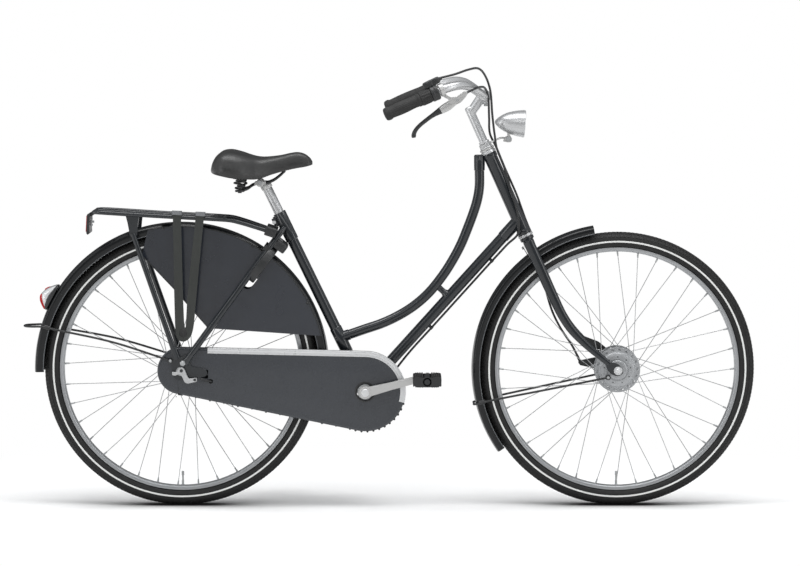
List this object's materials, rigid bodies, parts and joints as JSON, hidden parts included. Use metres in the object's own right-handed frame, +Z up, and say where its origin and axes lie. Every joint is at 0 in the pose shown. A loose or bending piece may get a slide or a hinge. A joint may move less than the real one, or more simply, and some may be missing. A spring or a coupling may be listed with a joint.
{
  "type": "city bicycle",
  "caption": "Upright step-through city bicycle with a low curved top tube, full chain case, coat guards, luggage carrier, ring lock and swept-back handlebar.",
  "frame": {"origin": "on the ground, under the middle of the bounding box", "axes": "+X forward, +Y to the left side, +Z up"},
  "size_m": [1.9038, 0.6184, 1.1538],
  "materials": {
    "paint": "gloss",
    "case_plastic": "gloss",
    "guard_vinyl": "gloss",
    "fender_paint": "gloss",
    "rubber": "matte",
    "tyre": "matte",
    "black_plastic": "satin",
    "strap_rubber": "matte",
    "saddle_vinyl": "matte",
    "alloy": "satin",
    "chrome": "polished",
    "dark_steel": "satin",
    "clear_lens": "clear",
    "red_lens": "gloss"
  },
  "bodies": {
    "frame": {"head_tube": "paint", "top_tube": "paint", "down_tube": "paint", "seat_tube": "paint", "chain_stays": "paint", "seat_stays": "paint", "headset_lower_cup": "alloy", "headset_upper_cup": "alloy", "bottom_bracket_unit": "dark_steel", "rear_fender": "fender_paint", "rear_fender_stay": "black_plastic", "rack": "paint", "rack_straps": "strap_rubber", "rear_reflector": "black_plastic", "rear_lamp": "black_plastic", "rear_lamp_lens": "red_lens", "coat_guard_right": "guard_vinyl", "coat_guard_left": "guard_vinyl", "lock_body": "black_plastic", "chaincase_outer": "case_plastic", "chaincase_inner": "case_plastic", "chaincase_trim": "alloy", "chain": "dark_steel", "rear_axle": "alloy", "shift_cable": "black_plastic"},
    "steering": {"fork": "paint", "headset_locknut": "alloy", "stem": "alloy", "handlebar": "alloy", "right_grip": "rubber", "left_grip": "rubber", "brake_lever_mount": "alloy", "shifter_housing": "black_plastic", "headlight_bracket": "alloy", "front_fender": "fender_paint", "front_fender_stay": "black_plastic", "roller_brake": "black_plastic", "front_axle": "alloy", "brake_cable": "black_plastic", "shift_cable_loop": "black_plastic"},
    "front_wheel": {"front_tyre": "tyre", "front_rim": "alloy", "front_hub": "alloy"},
    "rear_wheel": {"rear_tyre": "tyre", "rear_rim": "alloy", "rear_hub": "alloy"},
    "crank": {"right_crank": "alloy", "left_crank": "alloy"},
    "sprocket": {"rear_sprocket": "dark_steel"},
    "right_pedal_body": {"right_pedal": "rubber"},
    "left_pedal_body": {"left_pedal": "rubber"},
    "lever": {"brake_lever": "black_plastic"},
    "shifter_grip": {"twist_shifter": "rubber"},
    "headlight": {"headlight_shell": "chrome", "headlight_lens": "clear_lens"},
    "seat": {"seat_post": "chrome", "saddle_clamp": "alloy", "saddle_frame": "dark_steel", "saddle_cover": "saddle_vinyl"},
    "shackle": {"lock_shackle": "dark_steel"}
  },
  "joints": [
    {"name": "steering_turn", "type": "hinge", "parent": "frame", "child": "steering", "pos_m": [0.36129, 0, 0.69198], "axis": [-0.4099, 0, 0.9121], "range_deg": [-75, 75], "deforming": ["shift_cable"]},
    {"name": "front_wheel_spin", "type": "hinge", "parent": "steering", "child": "front_wheel", "pos_m": [0.59394, 0, 0.358], "axis": [0, 1, 0], "continuous": true},
    {"name": "rear_wheel_spin", "type": "hinge", "parent": "frame", "child": "rear_wheel", "pos_m": [-0.54005, 0, 0.358], "axis": [0, 1, 0], "continuous": true},
    {"name": "crank_spin", "type": "hinge", "parent": "frame", "child": "crank", "pos_m": [-0.06205, 0, 0.304], "axis": [0, 1, 0], "continuous": true},
    {"name": "sprocket_spin", "type": "hinge", "parent": "frame", "child": "sprocket", "pos_m": [-0.54005, -0.0435, 0.358], "axis": [0, 1, 0], "continuous": true},
    {"name": "right_pedal_spin", "type": "hinge", "parent": "crank", "child": "right_pedal_body", "pos_m": [0.09783, -0.14, 0.34475], "axis": [0, 1, 0], "continuous": true},
    {"name": "left_pedal_spin", "type": "hinge", "parent": "crank", "child": "left_pedal_body", "pos_m": [-0.22194, 0.14, 0.26325], "axis": [0, 1, 0], "continuous": true},
    {"name": "brake_lever_pull", "type": "hinge", "parent": "steering", "child": "lever", "pos_m": [0.17194, -0.268, 1.066], "axis": [0, 1, 0], "range_deg": [0, 16], "stiffness_Nm_per_rad": 0.5, "springref_deg": -8.59},
    {"name": "gear_twist", "type": "hinge", "parent": "steering", "child": "shifter_grip", "pos_m": [-0.00505, -0.293, 1.031], "axis": [0.9058, 0.1501, 0.3963], "range_deg": [-40, 40]},
    {"name": "headlight_tilt", "type": "hinge", "parent": "steering", "child": "headlight", "pos_m": [0.31024, 0, 0.957], "axis": [0, 1, 0], "range_deg": [-5, 20]},
    {"name": "seat_height", "type": "slide", "parent": "frame", "child": "seat", "axis": [-0.436, 0, 0.8999], "range_m": [-0.038, 0.06]},
    {"name": "lock_close", "type": "hinge", "parent": "frame", "child": "shackle", "pos_m": [-0.33172, 0, 0.63048], "axis": [0.7944, 0, -0.6074], "range_deg": [0, 100], "stiffness_Nm_per_rad": 0.1, "springref_deg": -20.05}
  ],
  "couplings": [
    {"joint": "sprocket_spin", "follows": "crank_spin", "ratio": 2.1111}
  ]
}
